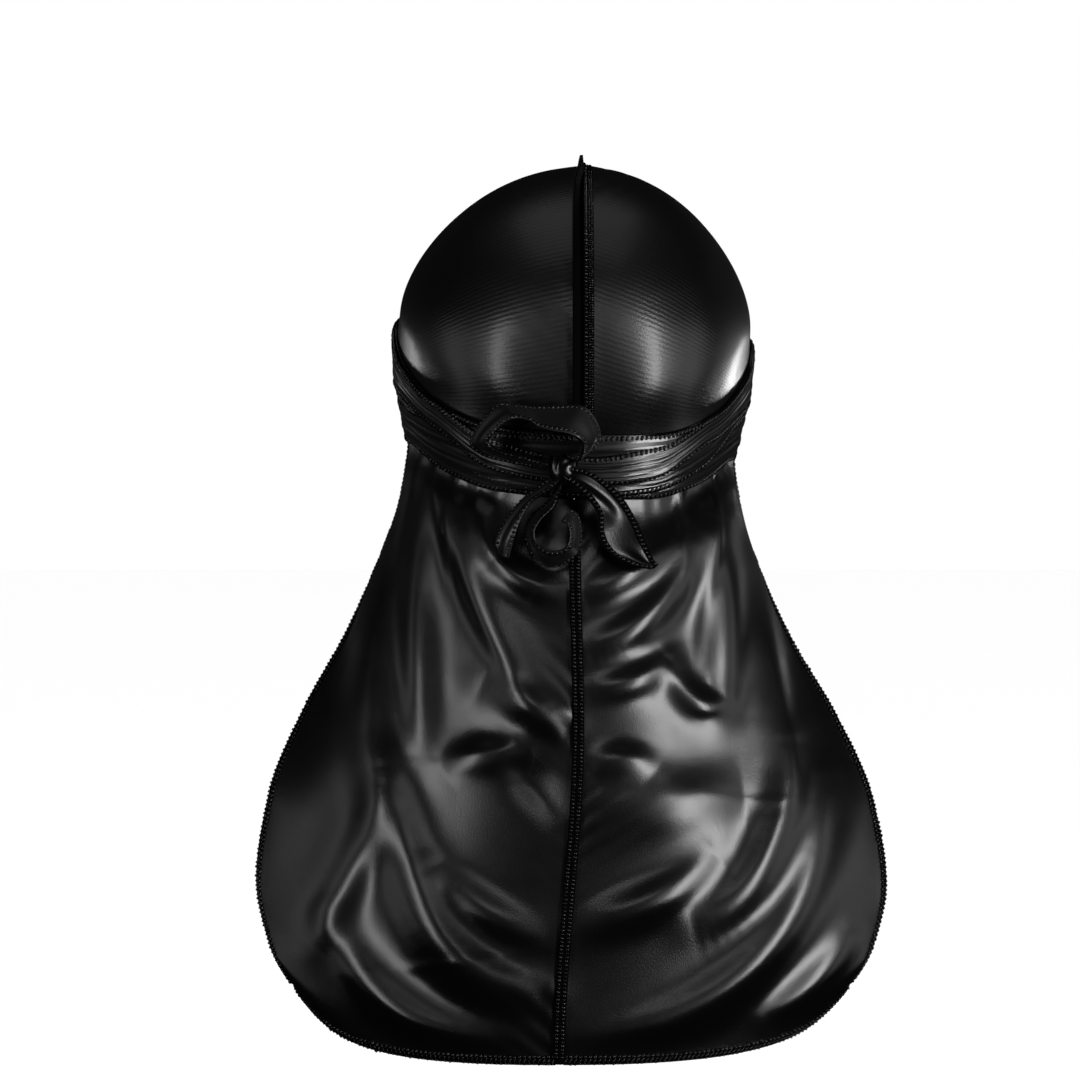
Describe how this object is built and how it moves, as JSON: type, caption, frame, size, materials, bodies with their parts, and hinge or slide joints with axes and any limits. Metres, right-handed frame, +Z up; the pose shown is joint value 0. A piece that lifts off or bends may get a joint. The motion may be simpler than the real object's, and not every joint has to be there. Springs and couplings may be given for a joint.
{
  "type": "durag",
  "caption": "Satin head wrap tied at the nape: raised centre seam, long hem flap, and straps wound round the head into a small bow.",
  "frame": {"origin": "inside top of the crown, where the head bears, on the centre plane", "axes": "+Z up, +Y the way the wearer faces, +X to the wearer's right"},
  "size_m": [0.2903, 0.2174, 0.417],
  "materials": {
    "satin": "black polyester satin, glossy along the folds",
    "sewn_edge": "black overlock thread over satin, matt beaded"
  },
  "bodies": {
    "root": {"panel_right": "satin", "panel_left": "satin", "crown_seam": "sewn_edge", "flap_seam": "sewn_edge", "strap_right": "satin", "strap_left": "satin", "knot": "satin", "bow_loop": "satin", "bow_curl": "satin", "tail_left": "satin", "tail_right": "satin"}
  },
  "joints": []
}
